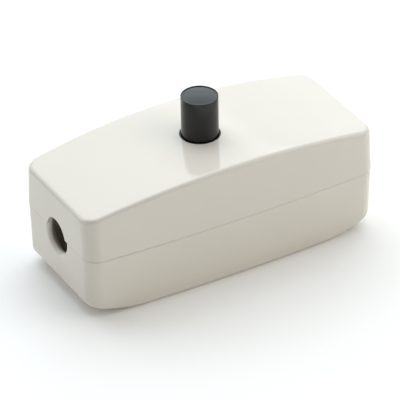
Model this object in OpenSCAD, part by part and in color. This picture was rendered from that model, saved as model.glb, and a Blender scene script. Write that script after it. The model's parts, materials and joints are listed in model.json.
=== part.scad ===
/* [Housing] */
// Length of the housing
body_len = 65; // [64:0.5:66]
// Width of the housing at the middle of its length
body_mid_w = 29.4; // [28.5:0.1:32]
// Width of the housing at its ends
body_end_w = 27.2; // [26.8:0.1:28]
// Height of the housing at the middle of its length
body_h = 25.7; // [25.2:0.1:27]
// Height of the parting plane between the two shells
parting_z = 13.6; // [13.2:0.1:14]
// How far the cover drops from the middle to the ends
crown_drop = 3.2; // [2:0.1:3.4]
// How far the sole rises at the ends
sole_rise = 2.9; // [2:0.1:3.2]
// Length of the flat part of the sole
sole_flat_len = 39; // [36:0.5:42]
// Lean of each long side, from the parting plane to the edge
side_lean = 0.7; // [0.4:0.05:1]
// Round of the long edges of the cover
cover_edge_r = 0.9; // [0.6:0.1:1.4]
// Round of the long edges of the sole
sole_edge_r = 1.2; // [0.8:0.1:1.6]
// Round of the upright corners
corner_r = 3.1; // [2.6:0.1:3.3]
// Wall thickness
wall = 1.8; // [1.6:0.1:2]

/* [Cord inlets] */
// Radius of the round hole for the cord
inlet_r = 3.7; // [3.6:0.05:3.8]
// Height of the middle of the hole
inlet_z = 12.85; // [12.75:0.05:12.95]
// Round of the lip of the hole in the lower shell
inlet_lip_r = 0.9; // [0.7:0.1:1]

/* [Button] */
// Radius of the push button
button_r = 3.72; // [3.5:0.01:3.74]
// Height of the rim of the button
button_rim_z = 34.35; // [33:0.05:36]
// Rise of the dome of the button
button_dome = 0.35; // [0.25:0.05:0.5]
// Travel of the button
button_travel = 2.5; // [2:0.1:2.5]

/* [Cord clamps] */
// Distance of each clamp from the middle of the housing
clamp_x = 22; // [21.8:0.1:22.2]
// Distance of each clamp screw from the middle of the cord
clamp_screw_y = 6.4; // [6.2:0.1:6.6]

/* [Hidden] */

$fn = 48;
eps = 0.01;
half_len = body_len / 2;
side_wall = wall + 0.5;
floor_z = 2;
ceiling_z = body_h - wall;
sole_r = (pow((body_len - sole_flat_len) / 2, 2) + sole_rise * sole_rise) / (2 * sole_rise);

// Wall round the hole for the cord, and the room behind it
inlet_wall = 1.1;
chamber_len = 2.5;
chamber_r = 5.2;

// Locating lip of the lower shell, and the gap round it
lip_h = 1.2;
lip_t = 0.9;
lip_gap = 0.1;
lip_head_gap = 0.2;

// Housing screws, one at each of two opposite corners, and locating pegs at the other two
corner_post_x = half_len - 4.6;
corner_post_y = 9.2;
corner_post_r = 2.6;
screw_r = 1.25;
screw_head_r = 2.1;
screw_head_h = 1.6;
screw_seat_z = 5;
screw_tip_z = 20;
screw_gap = 0.2;
screw_hole_spare = 0.5;
slot_w = 0.6;
slot_depth = 0.7;
peg_r = 1.2;
peg_h = 2.5;
peg_gap = 0.1;
peg_spare = 0.3;

// Mechanism, from the bottom up
base_half_len = 12.6;
base_half_w = 10.4;
base_top_z = 4.6;
strip_z = 7.5;
strip_t = 0.6;
contact_arm = 5.2;
contact_r = 1.1;
fixed_contact_h = 0.8;
contact_gap = 0.1;
bridge_z = 9.5;
bridge_t = 0.6;
bridge_reach = 6.3;
rotor_z = bridge_z + bridge_t;
rotor_disc_t = 2;
rotor_r = 6.5;
hub_r = 3.4;
hub_top_z = 14.5;
spigot_r = 2.2;
pin_r = 1;
pin_gap = 0.05;
pin_boss_r = 2.6;
pin_boss_z = 9;
pin_foot_z = floor_z + 1;
pin_top_gap = 0.2;
rotor_gap = 0.1;
bridge_arm_w = 2.6;

// Strips of the fixed contacts, and the pillars that they are fastened to
strip_x = 8.5;
strip_leg_w = 2.7;
strip_half_w = 1.5;
strip_past_contact = 1.4;
pillar_x = 9.8;
pillar_y = -3.2;
pillar_r = 1.5;
eyelet_r = 0.8;
eyelet_rim_r = 1.3;
eyelet_rim_t = 0.4;

// Ratchet teeth of the rotor, and the fingers of the drive crown that push them
tooth_count = 8;
tooth_in_r = 4.6;
tooth_out_r = 5.6;
tooth_run = 3.4;
tooth_h = 3.4;
tooth_toe = 0.2;
finger_t = 0.8;
finger_offset = 0.25;
finger_gap = 0.3;
crown_z = 19.6;
crown_t = 1.7;
crown_r = 6.2;
key_w = 1.4;
key_reach = 7.6;
key_drop = 1;
stem_r = 2;
stem_len = 7;

// Sleeve that guides the keys of the drive crown
sleeve_in_r = 7;
sleeve_out_r = 8.5;
sleeve_top_z = 20.6;
key_slot_gap = 0.15;
key_slot_z = crown_z - key_drop - button_travel - 2;
sleeve_rib_in_r = 7.9;
sleeve_rib_out_r = 9.3;
strip_window_y = -5.2;
strip_window_w = 7;
strip_window_gap = 0.3;

// Button and its bush
bush_in_r = 3.8;
bush_neck_r = 4.05;
bush_flange_r = 6.4;
bush_flange_t = 1.2;
button_flange_r = 5.4;
button_flange_gap = 0.1;
button_flange_top_z = ceiling_z - bush_flange_t - button_flange_gap;
button_flange_t = 1.3;
button_rim_w = 0.25;
button_rim_h = 0.15;
button_groove_w = 0.07;
button_dome_r = button_r - button_rim_w - button_groove_w;
button_dome_sphere_r = (pow(button_dome_r, 2) + pow(button_dome, 2)) / (2 * button_dome);

// Return spring
spring_wire_r = 0.25;
spring_coil_r = 2.7;
spring_turns = 4;
spring_pocket = 0.2;
spring_pocket_gap = 0.25;
washer_t = 0.5;
washer_gap = 0.3;

// Terminals
terminal_x = 16.2;
terminal_y = 7.4;
terminal_len = 6;
terminal_w = 5;
terminal_z = 5;
terminal_h = 6.5;
wire_hole_r = 1.3;
wire_hole_z = 8;
terminal_screw_r = 1.25;
terminal_head_r = 1.9;
terminal_head_h = 1.3;
terminal_head_gap = 0.5;
terminal_tip_gap = 0.6;
terminal_slot_w = 0.5;
terminal_slot_depth = 0.6;
link_y = terminal_y + 1.4;
link_z = 6;
link_t = 1.1;
link_h = 2.6;

// Cord clamps
clamp_bar_len = 4;
clamp_bar_half_w = 8.4;
clamp_bar_z = 13.7;
clamp_bar_h = 3.4;
clamp_arch_r = 3.6;
clamp_arch_z = 11.8;
clamp_post_r = 2.1;
clamp_post_z = 13.3;
saddle_z = 9.4;
saddle_t = 3;
clamp_screw_r = 1.1;
clamp_screw_grip = 6;
clamp_hole_depth = 7;
clamp_head_r = 1.8;
clamp_head_h = 1.4;
clamp_seat_h = 2.2;
clamp_gap = 0.1;
clamp_slot_w = 0.5;
clamp_slot_depth = 0.6;

// How far a fitting goes into the wall or floor that it stands on
root = 0.5;

module mirror_copy(axis) {
    children();
    mirror(axis) children();
}

// ---------- Outer form ----------

// How far a point at x has gone into the round of an upright corner
function corner_cut(x) =
    let (into = abs(x) - (half_len - corner_r))
    into <= 0 ? 0 : corner_r - sqrt(max(0, corner_r * corner_r - into * into));

// Half the width at x, as if the long sides ran on to the ends without a corner
function side_half_width(x) = body_end_w / 2 + (body_mid_w - body_end_w) / 2 * (1 - pow(x / half_len, 2));

function half_width(x) = side_half_width(x) - corner_cut(x);

function crown_z_at(x) = body_h - crown_drop * pow(x / half_len, 2);

function sole_z_at(x) =
    let (past = abs(x) - sole_flat_len / 2)
    past <= 0 ? 0 : sole_r - sqrt(sole_r * sole_r - past * past);

// Turn between the points of a rounded edge, in degrees
edge_step = 22.5;

// One side of the lower shell's cross-section at x, from the sole up to the parting plane
function lower_side(x) =
    let (w = half_width(x) - side_lean, low = sole_z_at(x), r = sole_edge_r)
    concat(
        [for (a = [-90:edge_step:0]) [w - r + r * cos(a), low + r + r * sin(a)]],
        [[half_width(x), parting_z]]
    );

// One side of the cover's cross-section at x, from the parting plane up to the crown
function upper_side(x) =
    let (w = half_width(x) - side_lean, high = crown_z_at(x), r = cover_edge_r)
    concat(
        [[half_width(x), parting_z]],
        [for (a = [0:edge_step:90]) [w - r + r * cos(a), high - r + r * sin(a)]]
    );

// A ring of points round the cross-section at x
function ring_at(x, side) =
    concat(
        [for (p = side) [x, p[0], p[1]]],
        [for (i = [len(side) - 1:-1:0]) [x, -side[i][0], side[i][1]]]
    );

// Places along the length where the outer form has a cross-section
corner_steps = [for (a = [90:-15:15]) half_len - corner_r + corner_r * sin(a)];
straight_count = 6;
straight_steps = [for (i = [straight_count:-1:1]) (half_len - corner_r) * i / straight_count];
half_stations = concat(corner_steps, straight_steps);
stations = concat(
    [for (x = half_stations) -x],
    [0],
    [for (i = [len(half_stations) - 1:-1:0]) half_stations[i]]
);

// Skins a row of rings that all have the same number of points
module loft(rings) {
    n = len(rings[0]);
    last = len(rings) - 1;
    points = [for (ring = rings, p = ring) p];
    skin = [
        for (i = [0:last - 1], j = [0:n - 1])
            let (k = (j + 1) % n, a = i * n, b = (i + 1) * n)
            each [[a + j, b + k, a + k], [a + j, b + j, b + k]]
    ];
    start_cap = [for (j = [0:n - 1]) j];
    end_cap = [for (j = [n - 1:-1:0]) last * n + j];
    polyhedron(points, concat([start_cap], skin, [end_cap]));
}

// ---------- Cavity ----------

function plan_points(inset) =
    let (end = half_len - inset, half = [for (x = [-end:end / 8:end + eps]) [x, side_half_width(x) - inset]])
    concat(half, [for (i = [len(half) - 1:-1:0]) [half[i][0], -half[i][1]]]);

module plan_block(inset, z, h) {
    translate([0, 0, z]) linear_extrude(h) polygon(plan_points(inset));
}

// Space under the cover, which follows its crown at the wall's thickness
module cover_cavity() {
    crown = [for (x = [-half_len:half_len / 8:half_len + eps]) [x, crown_z_at(x) - wall]];
    outline = concat([[-half_len, parting_z - 1]], crown, [[half_len, parting_z - 1]]);
    intersection() {
        plan_block(side_wall, parting_z - 1, body_h);
        rotate([90, 0, 0]) linear_extrude(body_mid_w, center = true) polygon(outline);
    }
}

// Space in the lower shell, above a floor that follows the sole
module lower_cavity() {
    sole = [for (x = [-half_len:half_len / 10:half_len + eps]) [x, sole_z_at(x) + floor_z]];
    outline = concat([[-half_len, parting_z + 5]], sole, [[half_len, parting_z + 5]]);
    intersection() {
        plan_block(side_wall, 0, parting_z + 5);
        rotate([90, 0, 0]) linear_extrude(body_mid_w, center = true) polygon(outline);
    }
}

// ---------- Shared features ----------

module along_x(x, y, z, len, r) {
    translate([x, y, z]) rotate([0, 90, 0]) cylinder(h = len, r = r);
}

// The round way for the cord, from outside the end wall to past its clamp
module inlet_hole() {
    start = clamp_x - clamp_bar_len;
    mirror_copy([1, 0, 0])
        along_x(start, 0, inlet_z, half_len + 2 - start, inlet_r);
}

// Room behind each end wall, where the hole for the cord is only as long as the wall is thick there
module inlet_chambers() {
    mirror_copy([1, 0, 0])
        along_x(half_len - inlet_wall - chamber_len, 0, inlet_z, chamber_len, chamber_r);
}

// The bell mouth that flares from the hole to the outside of the end wall
module inlet_mouths() {
    lip = inlet_lip_r;
    mirror_copy([1, 0, 0])
        translate([half_len + eps, 0, inlet_z])
            rotate([0, -90, 0])
                rotate_extrude()
                    difference() {
                        square([inlet_r + lip, lip]);
                        translate([inlet_r + lip, lip]) circle(lip);
                    }
}

module at_screw_corners() {
    for (s = [-1, 1])
        translate([s * corner_post_x, -s * corner_post_y, 0]) children();
}

module at_peg_corners() {
    for (s = [-1, 1])
        translate([s * corner_post_x, s * corner_post_y, 0]) children();
}

module at_clamp_screws(side) {
    for (s = [-1, 1])
        translate([side * clamp_x, s * clamp_screw_y, 0]) children();
}

module at_terminals() {
    for (sx = [-1, 1], sy = [-1, 1])
        translate([sx * terminal_x, sy * terminal_y, 0]) children();
}

// ---------- Housing ----------

module lower_shell_solid() {
    loft([for (x = stations) ring_at(x, lower_side(x))]);
}

module lower_fittings() {
    post_h = parting_z - floor_z;
    at_screw_corners() translate([0, 0, floor_z]) cylinder(h = post_h, r = corner_post_r);
    at_peg_corners() translate([0, 0, floor_z]) cylinder(h = post_h, r = corner_post_r);
    for (side = [-1, 1]) {
        at_clamp_screws(side)
            translate([0, 0, floor_z - root]) cylinder(h = clamp_post_z - floor_z + root, r = clamp_post_r);
        translate([side * clamp_x - saddle_t / 2, -clamp_screw_y, floor_z - root])
            cube([saddle_t, 2 * clamp_screw_y, saddle_z - floor_z + root]);
    }
    at_terminals()
        translate([-terminal_len / 2, -terminal_w / 2, floor_z - root])
            cube([terminal_len, terminal_w, terminal_z - floor_z + root]);
}

// The locating lip that stands above the parting plane
module locating_lip() {
    difference() {
        plan_block(side_wall - lip_t, parting_z - 1, lip_h + 1);
        plan_block(side_wall, parting_z - 2, lip_h + 3);
    }
}

module lower_shell() {
    color("#E2DFD3")
    difference() {
        union() {
            difference() {
                lower_shell_solid();
                lower_cavity();
            }
            locating_lip();
            lower_fittings();
        }
        inlet_hole();
        inlet_chambers();
        inlet_mouths();
        at_screw_corners() {
            translate([0, 0, -1]) cylinder(h = parting_z + 2, r = screw_r + screw_gap);
            translate([0, 0, -1]) cylinder(h = screw_seat_z + 1, r = screw_head_r + screw_gap);
        }
        at_peg_corners()
            translate([0, 0, parting_z - peg_h - peg_spare]) cylinder(h = peg_h + 1, r = peg_r + peg_gap);
        for (side = [-1, 1])
            at_clamp_screws(side)
                translate([0, 0, clamp_post_z - clamp_hole_depth])
                    cylinder(h = clamp_hole_depth + 1, r = clamp_screw_r);
    }
}

module upper_shell_solid() {
    loft([for (x = stations) ring_at(x, upper_side(x))]);
}

module upper_fittings() {
    at_screw_corners() translate([0, 0, parting_z]) cylinder(h = body_h - parting_z, r = corner_post_r);
    at_peg_corners() translate([0, 0, parting_z]) cylinder(h = body_h - parting_z, r = corner_post_r);
    translate([0, 0, sleeve_top_z])
        difference() {
            cylinder(h = ceiling_z - sleeve_top_z, r = sleeve_rib_out_r);
            translate([0, 0, -1]) cylinder(h = body_h, r = sleeve_rib_in_r);
        }
}

// The groove in the cover that takes the lower shell's locating lip
module lip_groove() {
    difference() {
        plan_block(side_wall - lip_t - lip_gap, parting_z - 1, 1 + lip_h + lip_head_gap);
        plan_block(side_wall + lip_gap, parting_z - 2, lip_h + 4);
    }
}

module upper_shell() {
    color("#E6E4DA")
    difference() {
        union() {
            difference() {
                upper_shell_solid();
                cover_cavity();
            }
            intersection() {
                upper_fittings();
                translate([0, 0, parting_z]) cover_block();
            }
            at_peg_corners()
                translate([0, 0, parting_z - peg_h]) cylinder(h = peg_h + 1, r = peg_r);
        }
        lip_groove();
        inlet_hole();
        inlet_chambers();
        at_screw_corners()
            translate([0, 0, parting_z - 1])
                cylinder(h = 1 + screw_tip_z - parting_z + screw_hole_spare, r = screw_r);
        translate([0, 0, ceiling_z - 1]) cylinder(h = 5, r = bush_neck_r);
        translate([0, 0, ceiling_z - 2]) cylinder(h = 2, r = bush_flange_r);
    }
}

// Least thickness of the cover over the ends of its inner fittings
cover_skin = 0.8;
side_skin = 1;

// Room that the cover's inner fittings keep to: inside its walls and under its crown
module cover_block() {
    crown = [for (x = [-half_len:half_len / 8:half_len + eps]) [x, crown_z_at(x) - parting_z - cover_skin]];
    outline = concat([[-half_len, 0]], crown, [[half_len, 0]]);
    intersection() {
        plan_block(side_skin, 0, body_h);
        rotate([90, 0, 0]) linear_extrude(body_mid_w, center = true) polygon(outline);
    }
}

module housing_screws() {
    color("#B9BCBF")
    at_screw_corners()
        difference() {
            union() {
                translate([0, 0, screw_seat_z - screw_head_h]) cylinder(h = screw_head_h, r = screw_head_r);
                translate([0, 0, screw_seat_z - eps]) cylinder(h = screw_tip_z - screw_seat_z, r = screw_r);
            }
            translate([-2 * screw_head_r, -slot_w / 2, screw_seat_z - screw_head_h - 1])
                cube([4 * screw_head_r, slot_w, slot_depth + 1]);
        }
}

// ---------- Button ----------

module button_bush() {
    color("#1D1C1B")
    difference() {
        union() {
            translate([0, 0, ceiling_z - bush_flange_t]) cylinder(h = bush_flange_t, r = bush_flange_r);
            translate([0, 0, ceiling_z - bush_flange_t]) cylinder(h = body_h - ceiling_z + bush_flange_t, r = bush_neck_r);
        }
        translate([0, 0, ceiling_z - bush_flange_t - 1]) cylinder(h = 6, r = bush_in_r);
    }
}

module push_button() {
    flange_z = button_flange_top_z - button_flange_t;
    color("#2B2A28")
    difference() {
        union() {
            translate([0, 0, flange_z]) cylinder(h = button_flange_t, r = button_flange_r);
            difference() {
                translate([0, 0, flange_z]) cylinder(h = button_rim_z - flange_z, r = button_r);
                translate([0, 0, button_rim_z - button_rim_h]) cylinder(h = 1, r = button_r - button_rim_w);
            }
            button_dome_cap();
        }
        translate([0, 0, flange_z - 1]) cylinder(h = stem_len + 1, r = stem_r);
    }
}

// The shallow dome inside the rim of the button
module button_dome_cap() {
    base_z = button_rim_z - button_rim_h;
    intersection() {
        translate([0, 0, base_z - 0.2]) cylinder(h = 2, r = button_r - eps);
        translate([0, 0, base_z + button_dome - button_dome_sphere_r]) sphere(r = button_dome_sphere_r);
    }
}

module drive_crown() {
    finger_z = rotor_z + rotor_disc_t + tooth_h + finger_gap;
    mid_r = (tooth_in_r + tooth_out_r) / 2;
    color("#D9D6CC")
    difference() {
        union() {
            translate([0, 0, crown_z]) cylinder(h = crown_t, r = crown_r);
            translate([0, 0, crown_z]) cylinder(h = crown_t + stem_len, r = stem_r);
            for (i = [0:3])
                rotate([0, 0, 90 * i]) {
                    translate([tooth_in_r, finger_offset, finger_z])
                        cube([tooth_out_r - tooth_in_r, finger_t, crown_z - finger_z + 1]);
                    rotate([0, 0, 45])
                        translate([mid_r, -key_w / 2, crown_z - key_drop])
                            cube([key_reach - mid_r, key_w, crown_t + key_drop]);
                }
        }
        translate([0, 0, crown_z - 1])
            cylinder(h = 1 + spring_pocket, r = spring_coil_r + spring_wire_r + spring_pocket_gap);
    }
}

function helix_point(t, low, high) =
    [spring_coil_r * cos(360 * spring_turns * t), spring_coil_r * sin(360 * spring_turns * t),
     low + (high - low) * t];

// A round wire wound into a helix, with a ring of points for each twelfth of a turn
module return_spring() {
    sides = 8;
    low = hub_top_z + washer_t + spring_wire_r;
    high = crown_z + spring_pocket - spring_wire_r;
    rings = 12 * spring_turns;
    points = [
        for (i = [0:rings], j = [0:sides - 1])
            let (
                t = i / rings,
                a = 360 * spring_turns * t,
                b = 360 * j / sides,
                p = helix_point(t, low, high),
                out = spring_wire_r * cos(b)
            )
            [p[0] + out * cos(a), p[1] + out * sin(a), p[2] + spring_wire_r * sin(b)]
    ];
    skin = [
        for (i = [0:rings - 1], j = [0:sides - 1])
            let (k = (j + 1) % sides)
            [i * sides + j, (i + 1) * sides + j, (i + 1) * sides + k, i * sides + k]
    ];
    first = [for (j = [0:sides - 1]) j];
    last = [for (j = [sides - 1:-1:0]) rings * sides + j];
    color("#C4C6C8")
    polyhedron(points, concat([first], skin, [last]));
}

// ---------- Rotor ----------

module spring_washer() {
    color("#C9CBCC")
    translate([0, 0, hub_top_z])
        difference() {
            cylinder(h = washer_t, r = hub_r);
            translate([0, 0, -1]) cylinder(h = 3, r = pin_r + washer_gap);
        }
}

// A wedge whose upright face starts a tooth and whose ramp falls away from it
module ratchet_tooth() {
    translate([tooth_in_r, 0, 0])
        rotate([90, 0, 90])
            linear_extrude(tooth_out_r - tooth_in_r)
                polygon([[0, -eps], [tooth_run, -eps], [tooth_run, tooth_toe], [0, tooth_h]]);
}

module ratchet_rotor() {
    color("#E4E1D6")
    difference() {
        union() {
            translate([0, 0, rotor_z]) cylinder(h = rotor_disc_t, r = rotor_r);
            translate([0, 0, rotor_z]) cylinder(h = hub_top_z - rotor_z, r = hub_r);
            translate([0, 0, pin_boss_z + rotor_gap]) cylinder(h = rotor_z - pin_boss_z, r = spigot_r);
            for (i = [0:tooth_count - 1])
                rotate([0, 0, 360 / tooth_count * i])
                    translate([0, 0, rotor_z + rotor_disc_t]) ratchet_tooth();
        }
        translate([0, 0, pin_boss_z - 1]) cylinder(h = hub_top_z, r = pin_r + pin_gap);
    }
}

module contact_bridge() {
    color("#C8A24B")
    translate([0, 0, bridge_z])
        difference() {
            union() {
                cylinder(h = bridge_t, r = spigot_r + 1);
                for (i = [0:3])
                    rotate([0, 0, 90 * i])
                        translate([0, -bridge_arm_w / 2, 0])
                            cube([bridge_reach, bridge_arm_w, bridge_t]);
            }
            translate([0, 0, -1]) cylinder(h = 3, r = spigot_r);
        }
}

module bridge_contacts() {
    low = strip_z + strip_t + fixed_contact_h + contact_gap;
    color("#D6D6D2")
    for (i = [0:3])
        rotate([0, 0, 90 * i])
            translate([contact_arm, 0, low]) cylinder(h = bridge_z - low, r = contact_r);
}

// ---------- Mechanism base ----------

module at_strip_pillars() {
    for (s = [-1, 1])
        translate([s * pillar_x, pillar_y, 0]) children();
}

module mechanism_base() {
    color("#5A4636")
    difference() {
        union() {
            translate([-base_half_len, -base_half_w, floor_z])
                cube([2 * base_half_len, 2 * base_half_w, base_top_z - floor_z]);
            translate([0, 0, base_top_z - eps]) cylinder(h = pin_boss_z - base_top_z + eps, r = pin_boss_r);
            at_strip_pillars()
                translate([0, 0, base_top_z - eps]) cylinder(h = strip_z - base_top_z + eps, r = pillar_r);
        }
        translate([0, 0, pin_foot_z]) cylinder(h = 10, r = pin_r);
        at_strip_pillars() translate([0, 0, base_top_z]) cylinder(h = 5, r = eyelet_r);
    }
}

module guide_sleeve() {
    key_slot_w = key_w + 2 * key_slot_gap;
    color("#6B5543")
    difference() {
        translate([0, 0, base_top_z]) cylinder(h = sleeve_top_z - base_top_z, r = sleeve_out_r);
        translate([0, 0, base_top_z - 1]) cylinder(h = sleeve_top_z, r = sleeve_in_r);
        for (i = [0:3])
            rotate([0, 0, 90 * i + 45])
                translate([sleeve_in_r - 1, -key_slot_w / 2, key_slot_z])
                    cube([key_reach + key_slot_gap - sleeve_in_r + 1, key_slot_w, sleeve_top_z]);
        translate([-sleeve_out_r - 1, strip_window_y, base_top_z - 1])
            cube([2 * sleeve_out_r + 2, strip_window_w, strip_z + strip_t + strip_window_gap - base_top_z + 1]);
    }
}

module rotor_pin() {
    color("#AEB1B4")
    translate([0, 0, pin_foot_z]) cylinder(h = hub_top_z - pin_top_gap - pin_foot_z, r = pin_r);
}

// ---------- Contacts ----------

module fixed_contact() {
    face_x = terminal_x - terminal_len / 2;
    color("#C39A44")
    translate([0, 0, strip_z])
        difference() {
            union() {
                translate([strip_x, -terminal_y - strip_half_w, 0])
                    cube([face_x - strip_x, 2 * strip_half_w, strip_t]);
                translate([strip_x, -terminal_y - strip_half_w, 0])
                    cube([strip_leg_w, terminal_y + 2 * strip_half_w, strip_t]);
                translate([contact_arm - strip_past_contact, -strip_half_w, 0])
                    cube([strip_x - contact_arm + strip_past_contact + root, 2 * strip_half_w, strip_t]);
            }
            translate([pillar_x, pillar_y, -1]) cylinder(h = 3, r = eyelet_r);
        }
}

module fixed_contact_right() {
    fixed_contact();
}

module fixed_contact_left() {
    mirror([1, 0, 0]) fixed_contact();
}

module fixed_contact_rivets() {
    color("#D6D6D2")
    mirror_copy([1, 0, 0])
        translate([contact_arm, 0, strip_z + strip_t]) cylinder(h = fixed_contact_h, r = contact_r);
}

module contact_eyelets() {
    color("#BFC1C2")
    at_strip_pillars() {
        translate([0, 0, strip_z + strip_t]) cylinder(h = eyelet_rim_t, r = eyelet_rim_r);
        translate([0, 0, base_top_z]) cylinder(h = strip_z + strip_t - base_top_z + eps, r = eyelet_r);
    }
}

// ---------- Terminals ----------

module terminal_block() {
    mid = terminal_len / 2;
    color("#C9A653")
    difference() {
        translate([-mid, -terminal_w / 2, terminal_z]) cube([terminal_len, terminal_w, terminal_h]);
        along_x(-mid - 1, 0, wire_hole_z, terminal_len + 2, wire_hole_r);
        translate([0, 0, wire_hole_z]) cylinder(h = terminal_h, r = terminal_screw_r);
    }
}

module line_terminal_left() {
    translate([-terminal_x, -terminal_y, 0]) terminal_block();
}

module line_terminal_right() {
    translate([terminal_x, -terminal_y, 0]) terminal_block();
}

module neutral_terminal_left() {
    translate([-terminal_x, terminal_y, 0]) terminal_block();
}

module neutral_terminal_right() {
    translate([terminal_x, terminal_y, 0]) terminal_block();
}

module neutral_link() {
    reach = terminal_x - terminal_len / 2;
    color("#C9A653")
    translate([-reach, link_y, link_z]) cube([2 * reach, link_t, link_h]);
}

module terminal_screws() {
    top_z = terminal_z + terminal_h;
    tip_z = wire_hole_z + terminal_tip_gap;
    head_z = top_z + terminal_head_gap;
    color("#B4B7BA")
    at_terminals()
        difference() {
            union() {
                translate([0, 0, tip_z]) cylinder(h = head_z - tip_z + 0.1, r = terminal_screw_r);
                translate([0, 0, head_z]) cylinder(h = terminal_head_h, r = terminal_head_r);
            }
            translate([-terminal_slot_w / 2, -terminal_head_r - 1, head_z + terminal_head_h - terminal_slot_depth])
                cube([terminal_slot_w, 2 * terminal_head_r + 2, 2]);
        }
}

// ---------- Cord clamps ----------

module clamp_bar() {
    color("#DAD7CB")
    difference() {
        translate([-clamp_bar_len / 2, -clamp_bar_half_w, clamp_bar_z])
            cube([clamp_bar_len, 2 * clamp_bar_half_w, clamp_bar_h]);
        along_x(-clamp_bar_len, 0, clamp_arch_z, 2 * clamp_bar_len, clamp_arch_r);
        for (s = [-1, 1])
            translate([0, s * clamp_screw_y, 0]) {
                translate([0, 0, clamp_bar_z - 1]) cylinder(h = 8, r = clamp_screw_r + clamp_gap);
                translate([0, 0, clamp_bar_z + clamp_seat_h]) cylinder(h = 8, r = clamp_head_r + clamp_gap);
            }
    }
}

module cord_clamp_left() {
    translate([-clamp_x, 0, 0]) clamp_bar();
}

module cord_clamp_right() {
    translate([clamp_x, 0, 0]) clamp_bar();
}

module clamp_screws() {
    head_z = clamp_bar_z + clamp_seat_h;
    tip_z = clamp_post_z - clamp_screw_grip;
    color("#B4B7BA")
    for (side = [-1, 1])
        at_clamp_screws(side)
            difference() {
                union() {
                    translate([0, 0, head_z]) cylinder(h = clamp_head_h, r = clamp_head_r);
                    translate([0, 0, tip_z]) cylinder(h = head_z - tip_z + 0.1, r = clamp_screw_r);
                }
                translate([-clamp_slot_w / 2, -clamp_head_r - 1, head_z + clamp_head_h - clamp_slot_depth])
                    cube([clamp_slot_w, 2 * clamp_head_r + 2, 2]);
            }
}

lower_shell();
upper_shell();
housing_screws();
button_bush();
push_button();
drive_crown();
return_spring();
spring_washer();
ratchet_rotor();
contact_bridge();
bridge_contacts();
mechanism_base();
guide_sleeve();
rotor_pin();
fixed_contact_left();
fixed_contact_right();
fixed_contact_rivets();
contact_eyelets();
line_terminal_left();
line_terminal_right();
neutral_terminal_left();
neutral_terminal_right();
neutral_link();
terminal_screws();
cord_clamp_left();
cord_clamp_right();
clamp_screws();
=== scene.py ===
import json
import math

import bmesh
import bpy
from mathutils import Matrix, Quaternion, Vector


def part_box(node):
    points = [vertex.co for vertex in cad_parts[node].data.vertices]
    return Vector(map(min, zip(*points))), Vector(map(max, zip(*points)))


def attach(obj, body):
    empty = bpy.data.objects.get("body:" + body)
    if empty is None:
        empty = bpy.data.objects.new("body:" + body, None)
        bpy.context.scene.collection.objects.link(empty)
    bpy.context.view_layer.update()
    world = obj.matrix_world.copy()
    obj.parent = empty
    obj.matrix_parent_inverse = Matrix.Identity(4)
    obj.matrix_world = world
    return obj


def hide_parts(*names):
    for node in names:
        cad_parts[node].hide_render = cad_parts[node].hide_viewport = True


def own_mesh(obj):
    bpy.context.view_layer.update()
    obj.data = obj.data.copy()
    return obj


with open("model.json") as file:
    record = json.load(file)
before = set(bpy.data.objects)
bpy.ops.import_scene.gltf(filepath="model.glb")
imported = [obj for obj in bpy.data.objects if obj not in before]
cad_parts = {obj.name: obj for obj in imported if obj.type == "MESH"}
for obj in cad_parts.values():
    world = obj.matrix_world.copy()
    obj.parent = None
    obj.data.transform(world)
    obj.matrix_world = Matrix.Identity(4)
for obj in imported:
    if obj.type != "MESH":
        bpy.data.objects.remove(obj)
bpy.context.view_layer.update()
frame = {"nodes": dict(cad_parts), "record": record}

# All sizes below are in millimetres. Meshes are made in millimetres and stored in metres.
MM = 0.001


def box_mm(node):
    """Lowest and highest corner of a CAD node, in millimetres."""
    low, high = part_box(node)
    return low / MM, high / MM


# ---------- Housing ----------

LIP_H = 1.2
cover_high = box_mm("upper_shell")[1]
half_len = cover_high.x
mid_half = cover_high.y
crown_top = cover_high.z
parting_z = box_mm("lower_shell")[1].z - LIP_H

END_HALF = 13.6
CROWN_DROP = 3.2
SOLE_RISE = 2.9
SOLE_FLAT_HALF = 19.5
SIDE_LEAN = 0.7
COVER_EDGE_R = 0.9
SOLE_EDGE_R = 1.2
CORNER_R = 3.1
PARTING_EDGE_R = 0.22
COVER_OVERHANG = 0.12
SIDE_WALL = 2.3
ROOF_WALL = 1.8
FLOOR_T = 2.0
LIP_T = 0.9
LIP_GAP = 0.1
LIP_HEAD_GAP = 0.2
LIP_CHAMFER = 0.1
ROOT = 0.5

END_STEPS = 8
CORNER_STEPS = 10
SIDE_STEPS = 26
EDGE_STEPS = 6
TURN_STEPS = 96

sole_run = half_len - SOLE_FLAT_HALF
sole_r = (sole_run ** 2 + SOLE_RISE ** 2) / (2 * SOLE_RISE)
bulge = mid_half - END_HALF

# ---------- Cord inlets ----------

INLET_R = 3.7
INLET_Z = 12.85
INLET_LIP_R = 1.45
INLET_LIP_DEPTH = 0.9
NOTCH_EDGE_R = 0.15
INLET_WALL = 1.1
CHAMBER_LEN = 2.5
CHAMBER_R = 5.2
CORD_WAY_START = 18.0

# ---------- Posts and screws ----------

POST_X, POST_Y, POST_R = 27.9, 9.2, 2.6
SCREW_SEAT_Z = 5.0
SCREW_TIP_Z = 20.0
SCREW_GAP = 0.2
SCREW_HOLE_SPARE = 0.5
PEG_R = 1.2
PEG_H = 2.5
PEG_GAP = 0.1
PEG_SPARE = 0.3
CLAMP_X, CLAMP_Y = 22.0, 6.4
CLAMP_POST_R = 2.1
CLAMP_POST_Z = 13.3
CLAMP_HOLE_DEPTH = 7
SADDLE_T = 3.0
SADDLE_Z = 9.4
TERMINAL_X, TERMINAL_Y = 16.2, 7.4
TERMINAL_PAD = (6.0, 5.0)
TERMINAL_PAD_Z = 5.0

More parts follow.
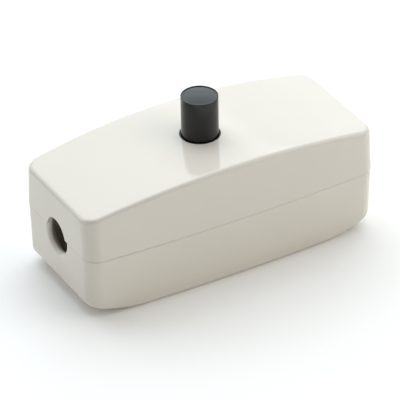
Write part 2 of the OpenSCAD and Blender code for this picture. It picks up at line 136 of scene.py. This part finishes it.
# Each kind of slotted screw: its head, the slot in it, and the root, crest and pitch of its thread
HOUSING_SCREW = {"head_r": 2.1, "head_h": 1.6, "slot_w": 0.6, "slot_depth": 0.7,
                 "root_r": 0.95, "crest_r": 1.25, "pitch": 1.0}
TERMINAL_SCREW = {"head_r": 1.9, "head_h": 1.3, "slot_w": 0.5, "slot_depth": 0.6,
                  "root_r": 1.02, "crest_r": 1.25, "pitch": 0.5}
CLAMP_SCREW = {"head_r": 1.8, "head_h": 1.4, "slot_w": 0.5, "slot_depth": 0.6,
               "root_r": 0.8, "crest_r": 1.1, "pitch": 0.8}
HEAD_EDGE_R = 0.3
HEAD_OVERLAP = 0.2

# ---------- Button and bush ----------

BUTTON_R = 3.72
BUTTON_RIM_Z = 34.35
BUTTON_RIM_R = 0.12
BUTTON_RIM_W = 0.25
BUTTON_RIM_H = 0.15
BUTTON_DOME = 0.35
BUTTON_FLANGE_T = 1.3
BUTTON_FLANGE_CHAMFER = 0.1
STEM_R = 2.0
STEM_DEPTH = 7.0
BUSH_IN_R = 3.8
BUSH_NECK_R = 4.05
BUSH_FLANGE_T = 1.2
BUSH_EDGE = 0.08
HOLE_EDGE_W = 0.1
HOLE_EDGE_H = 0.15
SPRING_WIRE_R = 0.25
SPRING_TURNS = 5
SLEEVE_RIB = (7.9, 9.3)
SLEEVE_TOP_Z = 20.6


# ---------- Making pieces ----------

def new_piece(name, verts, faces):
    mesh = bpy.data.meshes.new(name)
    mesh.from_pydata([Vector(v) * MM for v in verts], [], faces)
    solid = bmesh.new()
    solid.from_mesh(mesh)
    bmesh.ops.recalc_face_normals(solid, faces=solid.faces)
    solid.to_mesh(mesh)
    solid.free()
    piece = bpy.data.objects.new(name, mesh)
    bpy.context.scene.collection.objects.link(piece)
    return piece


def faces_between(ring, following):
    """Faces between two rings of vertex numbers. A ring that is one point repeated gives triangles."""
    faces = []
    for j in range(len(ring)):
        k = (j + 1) % len(ring)
        corners = list(dict.fromkeys((ring[j], ring[k], following[k], following[j])))
        if len(corners) > 2:
            faces.append(corners)
    return faces


def turned(name, profile, closed=False, steps=TURN_STEPS):
    """Turns a profile of (radius, height) about Z. A profile that is not closed starts and ends on the axis."""
    verts, rings = [], []
    for radius, height in profile:
        if radius == 0:
            rings.append([len(verts)] * steps)
            verts.append((0, 0, height))
            continue
        rings.append(list(range(len(verts), len(verts) + steps)))
        for i in range(steps):
            angle = math.tau * i / steps
            verts.append((radius * math.cos(angle), radius * math.sin(angle), height))
    faces = []
    for ring, following in zip(rings, rings[1:] + rings[:1] * closed):
        faces += faces_between(ring, following)
    return new_piece(name, verts, faces)


def part_way(low, high, share):
    return low + (high - low) * share


def quarter_turns(steps):
    """Angles from nothing to a right angle, for a rounded edge."""
    return [math.pi / 2 * i / steps for i in range(steps + 1)]


def rod(radius, low, high):
    return turned("rod", [(0, low), (radius, low), (radius, high), (0, high)], steps=64)


def block(size, centre):
    """A box with its middle at centre, for joining to a shell or cutting from it."""
    half = [s / 2 for s in size]
    signs = [(sx, sy, sz) for sz in (-1, 1) for sy in (-1, 1) for sx in (-1, 1)]
    verts = [[c + s * h for c, s, h in zip(centre, sign, half)] for sign in signs]
    faces = [(0, 1, 3, 2), (4, 5, 7, 6), (0, 1, 5, 4), (2, 3, 7, 6), (0, 2, 6, 4), (1, 3, 7, 5)]
    return new_piece("block", verts, faces)


def moved(piece, x=0, y=0, z=0):
    piece.data.transform(Matrix.Translation(Vector((x, y, z)) * MM))
    return piece


def aimed_along_x(piece, side):
    """Turns a piece made about Z so that it lies along +X or -X, at the height of the cord inlets."""
    piece.data.transform(Matrix.Rotation(side * math.pi / 2, 4, "Y"))
    return moved(piece, z=INLET_Z)


def combine(piece, tool, how):
    """Joins tool to piece, cuts it away or keeps what they share, and uses it up."""
    change = piece.modifiers.new(how, "BOOLEAN")
    change.operation = how
    change.solver = "MANIFOLD"
    change.object = tool
    bpy.context.view_layer.update()
    shaped = piece.evaluated_get(bpy.context.evaluated_depsgraph_get())
    piece.data = bpy.data.meshes.new_from_object(shaped)
    piece.modifiers.clear()
    bpy.data.objects.remove(tool)
    return piece


def join(piece, tool):
    return combine(piece, tool, "UNION")


def cut(piece, tool):
    return combine(piece, tool, "DIFFERENCE")


def shaded(piece, sharp_angle=32):
    """Smooth shading, with the edges that a mould or a tool leaves sharp kept sharp."""
    piece.data.shade_smooth()
    piece.data.set_sharp_from_angle(angle=math.radians(sharp_angle))
    normals = piece.modifiers.new("normals", "WEIGHTED_NORMAL")
    normals.keep_sharp = True
    return piece


# ---------- Outer form ----------

def half_width(x):
    return END_HALF + bulge * (1 - (x / half_len) ** 2)


def crown_z(x):
    return crown_top - CROWN_DROP * (x / half_len) ** 2


def sole_z(x):
    past = max(0, abs(x) - SOLE_FLAT_HALF)
    return sole_r - math.sqrt(sole_r ** 2 - past ** 2)


def plan_outline():
    """Points round the housing seen from above, each with its outward normal: (x, y, normal x, normal y)."""
    end_y = half_width(half_len) - CORNER_R
    corner_x = half_len - CORNER_R
    quarter = [(half_len, end_y * i / END_STEPS, 1, 0) for i in range(END_STEPS)]
    for i in range(CORNER_STEPS + SIDE_STEPS + 1):
        angle = math.radians(90 * max(0, 1 - i / CORNER_STEPS))
        along = corner_x * min(1, 1 - (i - CORNER_STEPS) / SIDE_STEPS)
        x = along + CORNER_R * math.sin(angle)
        slope = -2 * bulge * x / half_len ** 2
        out = Vector((math.sin(angle) - slope * math.cos(angle), math.cos(angle))).normalized()
        quarter.append((x, half_width(x) - CORNER_R * (1 - math.cos(angle)), out.x, out.y))
    half = quarter + [(-x, y, -nx, ny) for x, y, nx, ny in reversed(quarter[:-1])]
    return half + [(x, -y, nx, -ny) for x, y, nx, ny in reversed(half[1:-1])]


def cap(verts, ring):
    """Closes a ring of plan_outline's points with a grid of quads, each row across the housing at one x."""
    count = len(ring)
    half = count // 2
    columns = 2 * END_STEPS
    rows = [[ring[(END_STEPS - c) % count] for c in range(columns + 1)]]
    for i in range(END_STEPS + 1, half - END_STEPS):
        x, y, z = verts[ring[i]]
        inner = range(len(verts), len(verts) + columns - 1)
        verts += [(x, y * (1 - 2 * c / columns), z) for c in range(1, columns)]
        rows.append([ring[i], *inner, ring[count - i]])
    rows.append([ring[half - END_STEPS + c] for c in range(columns + 1)])
    faces = []
    for row, following in zip(rows, rows[1:]):
        for c in range(columns):
            faces.append((row[c], row[c + 1], following[c + 1], following[c]))
    return faces


def swept_round(name, levels, top, capped=True):
    """Sweeps a wall round the plan. Each level is (inset, lean, share, rise): lean is how much of the sides' lean
    it has, and share goes from the parting plane at 0 to the crown or the sole at 1."""
    outline = plan_outline()
    verts, rings = [], []
    for inset, lean, share, rise in levels:
        rings.append(list(range(len(verts), len(verts) + len(outline))))
        narrowing = 1 - lean * SIDE_LEAN / mid_half
        for x, y, nx, ny in outline:
            px = x - nx * inset
            height = parting_z + share * (top(px) - parting_z) + rise
            verts.append((px, (y - ny * inset) * narrowing, height))
    faces = []
    for ring, following in zip(rings, rings[1:] + rings[:1] * (not capped)):
        faces += faces_between(ring, following)
    if capped:
        faces += cap(verts, rings[0]) + cap(verts, rings[-1])
    return new_piece(name, verts, faces)


def outer_levels(edge_r, up, gap):
    """The outside of a shell, from its crown or sole down or up to the parting plane. up is 1 for the cover."""
    levels = [
        (gap + edge_r * (1 - math.sin(a)), 1, 1, -up * edge_r * (1 - math.cos(a)))
        for a in quarter_turns(EDGE_STEPS)
    ]
    levels += [(gap, share, share, -up * edge_r * share) for share in (0.8, 0.6, 0.4, 0.2)]
    levels += [
        (gap + PARTING_EDGE_R * (1 - math.cos(a)), 0, 0, up * PARTING_EDGE_R * (1 - math.sin(a)))
        for a in quarter_turns(3)
    ]
    return levels


# ---------- Shell fittings ----------

def at_corners(same_sign):
    """The two corners with the locating pegs if same_sign, or else the two with the screws."""
    sign = 1 if same_sign else -1
    return [(s * POST_X, s * sign * POST_Y) for s in (-1, 1)]


def at_four(x, y):
    return [(sx * x, sy * y) for sx in (-1, 1) for sy in (-1, 1)]


def inlet_cutter(side, lip_r, lip_depth):
    """The round way for the cord. It flares out by lip_r over the last lip_depth of the end wall."""
    profile = [(0, CORD_WAY_START), (INLET_R, CORD_WAY_START)]
    for a in quarter_turns(8):
        profile.append((INLET_R + lip_r * (1 - math.cos(a)), half_len - lip_depth * (1 - math.sin(a))))
    profile += [(INLET_R + lip_r, half_len + 2), (0, half_len + 2)]
    return aimed_along_x(turned("inlet", profile), side)


def chamber(side):
    """The room behind the end wall, where the hole for the cord opens into the housing."""
    start = half_len - INLET_WALL - CHAMBER_LEN
    return aimed_along_x(rod(CHAMBER_R, start, start + CHAMBER_LEN), side)


def add_lower_fittings(shell):
    """Posts for the screws and pegs, clamp posts with a saddle between them, and the pads of the terminals."""
    for x, y in at_four(POST_X, POST_Y):
        join(shell, moved(rod(POST_R, FLOOR_T + ROOT, parting_z), x, y))
    for x, y in at_four(CLAMP_X, CLAMP_Y):
        join(shell, moved(rod(CLAMP_POST_R, FLOOR_T - ROOT, CLAMP_POST_Z), x, y))
    for side in (-1, 1):
        saddle_h = SADDLE_Z - FLOOR_T + ROOT
        join(shell, block((SADDLE_T, 2 * CLAMP_Y, saddle_h), (side * CLAMP_X, 0, SADDLE_Z - saddle_h / 2)))
    for x, y in at_four(TERMINAL_X, TERMINAL_Y):
        pad_h = TERMINAL_PAD_Z - FLOOR_T + ROOT
        join(shell, block((*TERMINAL_PAD, pad_h), (x, y, TERMINAL_PAD_Z - pad_h / 2)))


def cut_fastener_holes(shell):
    """Stepped holes for the housing screws, sockets for the cover's pegs, and holes for the clamp screws."""
    head_r = HOUSING_SCREW["head_r"] + SCREW_GAP
    shank_r = HOUSING_SCREW["crest_r"] + SCREW_GAP
    stepped = [(0, -1), (head_r, -1), (head_r, SCREW_SEAT_Z), (shank_r, SCREW_SEAT_Z), (shank_r, parting_z + 1),
               (0, parting_z + 1)]
    for x, y in at_corners(same_sign=False):
        cut(shell, moved(turned("stepped_hole", stepped, steps=64), x, y))
    for x, y in at_corners(same_sign=True):
        cut(shell, moved(rod(PEG_R + PEG_GAP, parting_z - PEG_H - PEG_SPARE, parting_z + 1), x, y))
    for x, y in at_four(CLAMP_X, CLAMP_Y):
        cut(shell, moved(rod(CLAMP_SCREW["crest_r"], CLAMP_POST_Z - CLAMP_HOLE_DEPTH, CLAMP_POST_Z + 1), x, y))


def lower_shell():
    """Runs from the rounded sole up the outside, over the locating lip and down the inside to the floor."""
    levels = outer_levels(SOLE_EDGE_R, -1, COVER_OVERHANG)
    levels += [
        (SIDE_WALL - LIP_T, 0, 0, 0),
        (SIDE_WALL - LIP_T, 0, 0, LIP_H - LIP_CHAMFER),
        (SIDE_WALL - LIP_T + LIP_CHAMFER, 0, 0, LIP_H),
        (SIDE_WALL - LIP_CHAMFER, 0, 0, LIP_H),
        (SIDE_WALL, 0, 0, LIP_H - LIP_CHAMFER),
        (SIDE_WALL, 0, 0, 0),
        (SIDE_WALL, 0, 1, FLOOR_T),
    ]
    shell = swept_round("lower_housing", levels, sole_z)
    add_lower_fittings(shell)
    for side in (-1, 1):
        cut(shell, chamber(side))
        cut(shell, inlet_cutter(side, INLET_LIP_R, INLET_LIP_DEPTH))
    cut_fastener_holes(shell)
    return shaded(shell)


def cover():
    """Runs from the crown down the outside to the parting plane, and up the inside to the roof."""
    levels = outer_levels(COVER_EDGE_R, 1, 0)
    levels += [(SIDE_WALL, 0, 0, 0), (SIDE_WALL, 0, 1, -ROOF_WALL)]
    shell = swept_round("cover", levels, crown_z)
    ceiling = crown_top - ROOF_WALL
    for x, y in at_four(POST_X, POST_Y):
        join(shell, moved(rod(POST_R, parting_z, crown_z(POST_X) - ROOF_WALL / 2), x, y))
    inner_r, outer_r = SLEEVE_RIB
    rib_top = ceiling + ROOT
    rib = [(inner_r, SLEEVE_TOP_Z), (outer_r, SLEEVE_TOP_Z), (outer_r, rib_top), (inner_r, rib_top)]
    join(shell, turned("rib", rib, closed=True))
    cut(shell, lip_groove())
    for side in (-1, 1):
        cut(shell, chamber(side))
        cut(shell, inlet_cutter(side, NOTCH_EDGE_R, NOTCH_EDGE_R))
    for x, y in at_corners(same_sign=False):
        cut(shell, moved(rod(HOUSING_SCREW["crest_r"], parting_z - 1, SCREW_TIP_Z + SCREW_HOLE_SPARE), x, y))
    for x, y in at_corners(same_sign=True):
        join(shell, moved(rod(PEG_R, parting_z - PEG_H, parting_z + 1), x, y))
    cut(shell, bush_hole(ceiling))
    return shaded(shell)


def lip_groove():
    """The groove that takes the lower shell's locating lip, to be cut from the cover."""
    outer = SIDE_WALL - LIP_T - LIP_GAP
    inner = SIDE_WALL + LIP_GAP
    depth = LIP_H + LIP_HEAD_GAP
    levels = [(outer, 0, 0, -1), (outer, 0, 0, depth), (inner, 0, 0, depth), (inner, 0, 0, -1)]
    return swept_round("groove", levels, crown_z, capped=False)


def bush_hole(ceiling):
    """The hole for the bush, wider under the roof for its flange, with its top edge broken."""
    seat_r = box_mm("button_bush")[1].x
    wide_r = BUSH_NECK_R + HOLE_EDGE_W
    profile = [(0, ceiling - 2), (seat_r, ceiling - 2), (seat_r, ceiling), (BUSH_NECK_R, ceiling),
               (BUSH_NECK_R, crown_top - HOLE_EDGE_H), (wide_r, crown_top + 0.02), (wide_r, crown_top + 1),
               (0, crown_top + 1)]
    return turned("bush_hole", profile)


# ---------- Button ----------

def push_button():
    """A thin rim stands round the shallow dome of its top."""
    low, high = box_mm("push_button")
    flange_r, foot = high.x, low.z
    flange_top = foot + BUTTON_FLANGE_T
    chamfer = BUTTON_FLANGE_CHAMFER
    wall_top = BUTTON_RIM_Z - BUTTON_RIM_R
    profile = [(0, foot + STEM_DEPTH), (STEM_R, foot + STEM_DEPTH), (STEM_R, foot), (flange_r - chamfer, foot),
               (flange_r, foot + chamfer), (flange_r, flange_top - chamfer), (flange_r - chamfer, flange_top),
               (BUTTON_R, flange_top)]
    profile += [(BUTTON_R, part_way(flange_top, wall_top, i / 8)) for i in range(1, 8)]
    for a in quarter_turns(4):
        profile.append((BUTTON_R - BUTTON_RIM_R * (1 - math.cos(a)), wall_top + BUTTON_RIM_R * math.sin(a)))
    dome_r = BUTTON_R - BUTTON_RIM_W
    dome_foot = BUTTON_RIM_Z - BUTTON_RIM_H
    rim_slope, rim_edge = 0.04, 0.02
    profile += [(dome_r + rim_slope, BUTTON_RIM_Z - rim_edge), (dome_r, dome_foot + rim_edge)]
    dome_steps = 14
    for i in range(1, dome_steps + 1):
        share = 1 - i / dome_steps
        profile.append((dome_r * 0.98 * share, dome_foot + BUTTON_DOME * (1 - share ** 2)))
    return shaded(turned("button", profile, steps=128), sharp_angle=40)


# The black top ring of this bush is painted shade: it stands in for the shadow in the gap round the button
def bush():
    low, high = box_mm("button_bush")
    flange_r, foot, top = high.x, low.z, high.z
    profile = [(BUSH_IN_R, foot), (flange_r, foot), (flange_r, foot + BUSH_FLANGE_T),
               (BUSH_NECK_R, foot + BUSH_FLANGE_T), (BUSH_NECK_R, top - BUSH_EDGE),
               (BUSH_NECK_R - BUSH_EDGE, top), (BUSH_IN_R + BUSH_EDGE, top), (BUSH_IN_R, top - BUSH_EDGE)]
    return shaded(turned("bush", profile, closed=True, steps=128))


# ---------- Screws and spring ----------

def thread(root_r, crest_r, pitch, low, high):
    """A threaded shank, whose ridge climbs by one pitch at each turn and runs out at both ends."""
    steps, per_pitch = 32, 6
    count = round((high - low) / pitch * per_pitch)
    verts = [(0, 0, low)]
    rings = [[0] * steps]
    for i in range(count + 1):
        z = part_way(low, high, i / count)
        full = min(1, i / per_pitch, (count - i) / per_pitch)
        rings.append(list(range(len(verts), len(verts) + steps)))
        for j in range(steps):
            ridge = 1 - abs(2 * ((i / per_pitch - j / steps) % 1) - 1)
            radius = root_r + (crest_r - root_r) * ridge * full
            angle = math.tau * j / steps
            verts.append((radius * math.cos(angle), radius * math.sin(angle), z))
    rings.append([len(verts)] * steps)
    verts.append((0, 0, high))
    faces = []
    for ring, following in zip(rings, rings[1:]):
        faces += faces_between(ring, following)
    return new_piece("thread", verts, faces)


def screw(kind, seat_z, tip_z):
    """A slotted cheese-head screw, whose slot faces away from its tip."""
    head_r, root_r = kind["head_r"], kind["root_r"]
    up = 1 if seat_z > tip_z else -1
    neck = seat_z - up * HEAD_OVERLAP
    chamfer = HEAD_EDGE_R / 4
    top = seat_z + up * kind["head_h"]
    profile = [(0, neck), (root_r, neck), (root_r, seat_z), (head_r - chamfer, seat_z),
               (head_r, seat_z + up * chamfer)]
    for a in quarter_turns(4):
        profile.append((head_r - HEAD_EDGE_R * (1 - math.cos(a)), top - up * HEAD_EDGE_R * (1 - math.sin(a))))
    profile.append((0, top))
    piece = turned("screw", profile, steps=64)
    slot_mid = top + up * (1 - kind["slot_depth"])
    cut(piece, block((kind["slot_w"], 3 * head_r, 2), (0, 0, slot_mid)))
    low, high = sorted((tip_z, seat_z - up * HEAD_OVERLAP / 2))
    return join(piece, thread(root_r, kind["crest_r"], kind["pitch"], low, high))


def set_of(name, pattern, places):
    """Copies of one screw at each place, as one piece. The screw itself is used up."""
    group = bpy.data.meshes.new(name)
    solids = bmesh.new()
    for x, y in places:
        copy = pattern.data.copy()
        copy.transform(Matrix.Translation(Vector((x, y, 0)) * MM))
        solids.from_mesh(copy)
        bpy.data.meshes.remove(copy)
    solids.to_mesh(group)
    solids.free()
    bpy.data.objects.remove(pattern)
    piece = bpy.data.objects.new(name, group)
    bpy.context.scene.collection.objects.link(piece)
    return shaded(piece, sharp_angle=38)


def housing_screws():
    return set_of("cover_screws", screw(HOUSING_SCREW, SCREW_SEAT_Z, SCREW_TIP_Z), at_corners(same_sign=False))


def terminal_screws():
    low, high = box_mm("terminal_screws")
    pattern = screw(TERMINAL_SCREW, high.z - TERMINAL_SCREW["head_h"], low.z)
    return set_of("wire_screws", pattern, at_four(TERMINAL_X, TERMINAL_Y))


def clamp_screws():
    low, high = box_mm("clamp_screws")
    pattern = screw(CLAMP_SCREW, high.z - CLAMP_SCREW["head_h"], low.z)
    return set_of("cord_clamp_screws", pattern, at_four(CLAMP_X, CLAMP_Y))


def spring():
    """A coil spring of round wire. The turn at each end lies nearly flat and climbs only by settle."""
    low, high = box_mm("return_spring")
    wire_r = SPRING_WIRE_R
    coil_r = high.x - wire_r
    settle = 0.6 * wire_r
    sides, per_turn = 14, 28
    turns, flat = SPRING_TURNS, 0.8
    rings, verts = [], []
    for i in range(turns * per_turn + 1):
        turn = i / per_turn
        climb = min(1, max(0, (turn - flat) / (turns - 2 * flat)))
        rise = climb - math.sin(math.tau * climb) / 25
        flat_lift = settle * (min(turn, flat) - min(turns - turn, flat)) / flat
        z = part_way(low.z + wire_r + settle, high.z - wire_r - settle, rise) + flat_lift
        angle = math.tau * turn
        rings.append(list(range(len(verts), len(verts) + sides)))
        for j in range(sides):
            around = math.tau * j / sides
            radius = coil_r + wire_r * math.cos(around)
            verts.append((radius * math.cos(angle), radius * math.sin(angle), z + wire_r * math.sin(around)))
    faces = [rings[0], rings[-1]]
    for ring, following in zip(rings, rings[1:]):
        faces += faces_between(ring, following)
    return shaded(new_piece("spring", verts, faces), sharp_angle=60)


# ---------- Materials ----------

def linear(hex_colour):
    """An sRGB hex colour as the linear colour that a shader takes."""
    channels = [int(hex_colour[i:i + 2], 16) / 255 for i in (1, 3, 5)]
    return (*(c / 12.92 if c <= 0.04045 else ((c + 0.055) / 1.055) ** 2.4 for c in channels), 1)


def per_mm(size):
    """The scale of a pattern whose features are size millimetres across."""
    return 1 / (size * MM)


def add(tree, kind, inputs=None, **settings):
    """Adds a node, with its settings. An input is given a value, or is linked if it is another node's output."""
    made = tree.nodes.new("ShaderNode" + kind)
    for name, value in settings.items():
        setattr(made, name, value)
    for name, value in (inputs or {}).items():
        if isinstance(value, bpy.types.NodeSocket):
            tree.links.new(value, made.inputs[name])
        else:
            made.inputs[name].default_value = value
    return made


def new_material(name):
    material = bpy.data.materials.new(name)
    material.use_nodes = True
    material.node_tree.nodes.clear()
    return material, material.node_tree


def moulded_plastic(name, light, dark, roughness, ior=1.54, grain_mm=0.35, grain_depth=0.0006, flow_mm=14):
    """Injection-moulded plastic: an even colour that drifts a little with the flow of the melt, a skin whose gloss
    comes from the mould, and a fine grain in it. The real grain is too fine to show, so it is drawn coarser.
    roughness is the least and the greatest over the skin."""
    material, tree = new_material(name)
    place = add(tree, "TexCoord").outputs["Object"]
    flow = add(tree, "TexNoise", {"Vector": place, "Scale": per_mm(flow_mm), "Detail": 2.0, "Distortion": 0.6})
    grain = add(tree, "TexNoise", {"Vector": place, "Scale": per_mm(grain_mm), "Detail": 3.0})
    colour = add(tree, "Mix", {0: flow.outputs["Fac"], 6: linear(dark), 7: linear(light)}, data_type="RGBA")
    gloss = add(tree, "MapRange", {"Value": flow.outputs["Fac"], "From Min": 0.3, "From Max": 0.7,
                                   "To Min": roughness[0], "To Max": roughness[1]})
    skin = add(tree, "Bump", {"Height": grain.outputs["Fac"], "Strength": 1.0, "Distance": grain_depth * MM})
    body = add(tree, "BsdfPrincipled", {"Base Color": colour.outputs[2], "Roughness": gloss.outputs["Result"],
                                        "Normal": skin.outputs["Normal"], "IOR": ior})
    add(tree, "OutputMaterial", {"Surface": body.outputs["BSDF"]})
    return material


def worked_metal(name, light, dark, roughness, mark_mm, stretch, depth=0.002):
    """Bare metal: stamping, turning or drawing leaves fine marks that run one way and break up its shine. They are
    drawn coarser than the real ones, which are too fine to show. A larger stretch packs them closer that way."""
    material, tree = new_material(name)
    place = add(tree, "TexCoord").outputs["Object"]
    along = add(tree, "Mapping", {"Vector": place, "Scale": stretch})
    marks = add(tree, "TexNoise", {"Vector": along.outputs["Vector"], "Scale": per_mm(mark_mm), "Detail": 4.0})
    tarnish = add(tree, "TexNoise", {"Vector": place, "Scale": per_mm(2.5), "Detail": 3.0})
    colour = add(tree, "Mix", {0: tarnish.outputs["Fac"], 6: linear(dark), 7: linear(light)}, data_type="RGBA")
    gloss = add(tree, "MapRange", {"Value": marks.outputs["Fac"], "From Min": 0.3, "From Max": 0.7,
                                   "To Min": roughness[0], "To Max": roughness[1]})
    skin = add(tree, "Bump", {"Height": marks.outputs["Fac"], "Strength": 1.0, "Distance": depth * MM})
    body = add(tree, "BsdfPrincipled", {"Base Color": colour.outputs[2], "Roughness": gloss.outputs["Result"],
                                        "Normal": skin.outputs["Normal"], "Metallic": 1.0})
    add(tree, "OutputMaterial", {"Surface": body.outputs["BSDF"]})
    return material


FINISHES = {
    # Polished ABS, ivory: a glossy skin that mirrors the lights in soft shapes, warm white underneath
    "housing_cover": moulded_plastic("polished_ivory_abs", "#E5DFD4", "#E1DBCF", (0.06, 0.09)),
    # ABS from a less polished mould: the same ivory a shade deeper, with broad and blurred highlights
    "housing_lower": moulded_plastic("ivory_abs", "#E5DFD3", "#E1DACE", (0.12, 0.18)),
    # Black ABS: nearly no colour of its own, so its satin skin shows grey only where it faces a light
    "button_black": moulded_plastic("black_abs", "#0E0D0C", "#0A0909", (0.16, 0.22), ior=1.47,
                                    grain_mm=0.18, grain_depth=0.002),
    # Black nylon bush, a real part: its black top, duller than the button, is painted shade that draws the
    # shadowed gap round the button as a dark line
    "bush_black": moulded_plastic("black_nylon_painted_gap_shade", "#141414", "#0F0F0F", (0.3, 0.4)),
    # Natural acetal: milky white with a slippery, low sheen
    "natural_acetal": moulded_plastic("natural_acetal", "#E6E3D8", "#DEDACD", (0.3, 0.4), ior=1.48),
    # Ivory nylon: greyer and flatter than the housing, with hardly a highlight
    "clamp_plastic": moulded_plastic("ivory_nylon", "#DAD6C8", "#D0CBBB", (0.4, 0.5), ior=1.53),
    # Brown phenolic: dark reddish brown that drifts in tone, with a hard and dry shine
    "base_phenolic": moulded_plastic("brown_phenolic", "#5C4130", "#4A3326", (0.3, 0.42), ior=1.6),
    # Stamped brass strip: yellow metal with fine marks along the strip that draw its shine out
    "contact_brass": worked_metal("stamped_brass", "#E0B868", "#C99C4C", (0.22, 0.36),
                                  mark_mm=0.12, stretch=(1, 8, 8)),
    # Turned brass: a cleaner yellow, brighter, with tool marks across the block
    "terminal_brass": worked_metal("turned_brass", "#DDB568", "#CBA055", (0.18, 0.3),
                                   mark_mm=0.08, stretch=(8, 1, 1)),
    # Silver contact: pale and almost white, a little blurred by handling
    "contact_silver": worked_metal("silver_contact", "#E2E1DC", "#C9C8C2", (0.2, 0.32),
                                   mark_mm=0.2, stretch=(1, 1, 1)),
    # Drawn steel wire: cool grey with streaks that follow the drawing
    "spring_steel": worked_metal("drawn_steel", "#C3C6C9", "#A9ACB0", (0.2, 0.32),
                                 mark_mm=0.08, stretch=(1, 1, 6)),
    # Zinc-plated steel: bluish grey with cloudy patches that turn slightly yellow
    "steel_screw": worked_metal("zinc_plated_steel", "#C9CED4", "#B4B8B4", (0.2, 0.34),
                                mark_mm=0.25, stretch=(1, 1, 1)),
}


def dress(piece, slot):
    """Gives a piece the finish of its slot, and no other."""
    piece.data.materials.clear()
    piece.data.materials.append(FINISHES[slot])


def finish_piece(piece, body, slot, *nodes):
    dress(piece, slot)
    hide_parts(*nodes)
    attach(piece, body)


finish_piece(lower_shell(), "housing", "housing_lower", "lower_shell")
finish_piece(cover(), "housing", "housing_cover", "upper_shell")
finish_piece(push_button(), "button", "button_black", "push_button")
finish_piece(bush(), "housing", "bush_black", "button_bush")
finish_piece(housing_screws(), "housing", "steel_screw", "housing_screws")
finish_piece(terminal_screws(), "housing", "steel_screw", "terminal_screws")
finish_piece(clamp_screws(), "housing", "steel_screw", "clamp_screws")

coil = spring()
finish_piece(coil, "housing", "spring_steel", "return_spring")
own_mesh(coil)

for part in frame["record"]["subparts"]:
    cad_node = frame["nodes"][part["node"]]
    if not cad_node.hide_render:
        dress(cad_node, part["material_slot"])


# ---------- Floor, light and camera ----------

VIEW_AZIMUTH = 29.46
VIEW_ELEVATION = 33.5
VIEW_ROLL = -1.016
VIEW_DISTANCE = 694.5
VIEW_AIM = (-1.03, -1.35, 11.06)
LENS = 316.35
SENSOR = 36


def place_camera():
    """A long lens, far off, that looks down on the switch from its front left."""
    azimuth, elevation = math.radians(VIEW_AZIMUTH), math.radians(VIEW_ELEVATION)
    forward = Vector((math.sin(azimuth) * math.cos(elevation), math.cos(azimuth) * math.cos(elevation),
                      -math.sin(elevation)))
    lens = bpy.data.cameras.new("camera")
    lens.lens = LENS
    lens.sensor_width = SENSOR
    lens.clip_start = 0.01
    lens.clip_end = 10
    camera = bpy.data.objects.new("camera", lens)
    bpy.context.scene.collection.objects.link(camera)
    camera.rotation_mode = "QUATERNION"
    upright = forward.to_track_quat("-Z", "Y")
    camera.rotation_quaternion = upright @ Quaternion((0, 0, 1), math.radians(VIEW_ROLL))
    camera.location = (Vector(VIEW_AIM) - forward * VIEW_DISTANCE) * MM
    bpy.context.scene.camera = camera


COOL = "#F1F9FF"
WARM = "#FFFDF8"
SOFTBOX_DISTANCE = 1.5


def softbox(name, azimuth, elevation, size, power, colour):
    """A square area light that looks at the switch. Azimuth 0 is behind it, along +Y, and 90 is along +X."""
    a, e = math.radians(azimuth), math.radians(elevation)
    towards = Vector((math.sin(a) * math.cos(e), math.cos(a) * math.cos(e), math.sin(e)))
    panel = bpy.data.lights.new(name, "AREA")
    panel.shape = "SQUARE"
    panel.size = size
    panel.energy = power
    panel.color = linear(colour)[:3]
    lamp = bpy.data.objects.new(name, panel)
    bpy.context.scene.collection.objects.link(lamp)
    lamp.location = towards * SOFTBOX_DISTANCE
    lamp.rotation_mode = "QUATERNION"
    lamp.rotation_quaternion = (-towards).to_track_quat("-Z", "Y")
    return lamp


def light_the_room(strength):
    """Faint light from all round, as white walls give it back."""
    world = bpy.data.worlds.new("room")
    world.use_nodes = True
    world.node_tree.nodes["Background"].inputs["Color"].default_value = linear("#FFFBF5")
    world.node_tree.nodes["Background"].inputs["Strength"].default_value = strength
    bpy.context.scene.world = world


def lay_floor():
    """A wide sheet of white paper, with a trace of glow that keeps it even and pale."""
    half = 3000
    corners = [(-half, -half, 0), (half, -half, 0), (half, half, 0), (-half, half, 0)]
    floor = new_piece("floor", corners, [(0, 1, 2, 3)])
    material, tree = new_material("white_paper")
    sheet = add(tree, "BsdfPrincipled", {"Base Color": linear("#FBFAF8"), "Roughness": 0.8,
                                         "Emission Color": linear("#FFFFFF"), "Emission Strength": 0.04})
    add(tree, "OutputMaterial", {"Surface": sheet.outputs["BSDF"]})
    floor.data.materials.append(material)


# Name, azimuth, elevation, side in metres, watts and colour of each softbox
SOFTBOXES = [
    ("back", 29, 35, 1.2, 3.0, COOL),
    ("back_high", 29, 55, 1.4, 5.6, COOL),
    ("back_wide", 29, 45, 2.4, 8.6, COOL),
    ("back_low", 29, 14, 1.0, 1.4, COOL),
    ("back_left", -30, 35, 1.2, 7.2, COOL),
    ("back_right", 85, 35, 1.2, 2.0, WARM),
    ("right", 130, 35, 1.2, 7.6, WARM),
    ("top", 29, 85, 1.2, 6.2, COOL),
    ("front_high", 205, 68, 0.4, 0.25, COOL),
]

place_camera()
lay_floor()
light_the_room(0.16)
for name, azimuth, elevation, size, power, colour in SOFTBOXES:
    softbox(name, azimuth, elevation, size, power, colour)
bpy.context.scene.view_settings.view_transform = "Standard"
